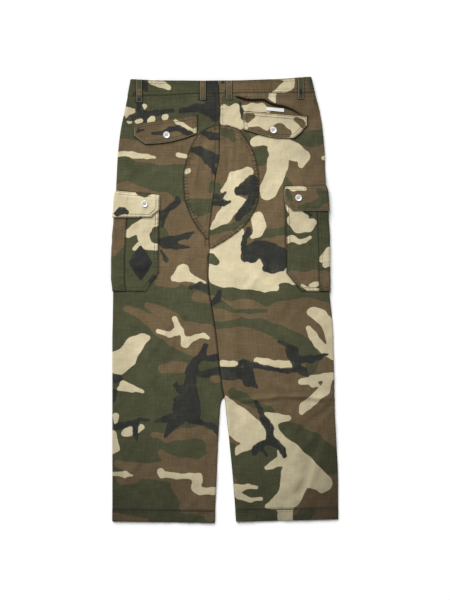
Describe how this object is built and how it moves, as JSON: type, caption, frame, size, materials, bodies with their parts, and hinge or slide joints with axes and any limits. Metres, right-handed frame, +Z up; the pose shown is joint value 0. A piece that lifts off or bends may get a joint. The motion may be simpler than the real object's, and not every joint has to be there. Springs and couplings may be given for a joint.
{
  "type": "cargo trousers laid flat, back side up",
  "caption": "Camouflage ripstop cargo trousers lying flat on their front, with an oval seat patch, flapped back pockets and pleated side pockets.",
  "frame": {"origin": "middle of the footprint, on the surface that the garment lies on", "axes": "+Y towards the waist, +Z up out of the back of the garment, wearer's left at -X"},
  "size_m": [0.5452, 1.0722, 0.0191],
  "materials": {
    "camouflage_cloth": "matt cotton ripstop printed in woodland camouflage: green, brown, tan and black",
    "button_metal": "pale silver sewn buttons with a raised rim",
    "black_leather": "smooth black leather, stitched round its edge",
    "tag_cloth": "plain white woven ribbon"
  },
  "bodies": {
    "root": {"back_panel_left": "camouflage_cloth", "back_panel_right": "camouflage_cloth", "front_panel_left": "camouflage_cloth", "front_panel_right": "camouflage_cloth", "fly_placket": "camouflage_cloth", "waistband_left": "camouflage_cloth", "waistband_right": "camouflage_cloth", "seat_patch_left": "camouflage_cloth", "seat_patch_right": "camouflage_cloth", "back_flap_left": "camouflage_cloth", "back_flap_right": "camouflage_cloth", "cargo_pocket_left": "camouflage_cloth", "cargo_pocket_right": "camouflage_cloth", "cargo_flap_left": "camouflage_cloth", "cargo_flap_right": "camouflage_cloth", "belt_loop_left_side": "camouflage_cloth", "belt_loop_left_centre": "camouflage_cloth", "belt_loop_right_centre": "camouflage_cloth", "belt_loop_right_side": "camouflage_cloth", "belt_loop_front_left": "camouflage_cloth", "belt_loop_front_right": "camouflage_cloth", "blank_tag": "tag_cloth", "leather_patch": "black_leather", "back_button_left": "button_metal", "back_button_right": "button_metal", "cargo_button_left_back": "button_metal", "cargo_button_left_front": "button_metal", "cargo_button_right_back": "button_metal", "cargo_button_right_front": "button_metal", "waist_button": "button_metal"}
  },
  "joints": []
}
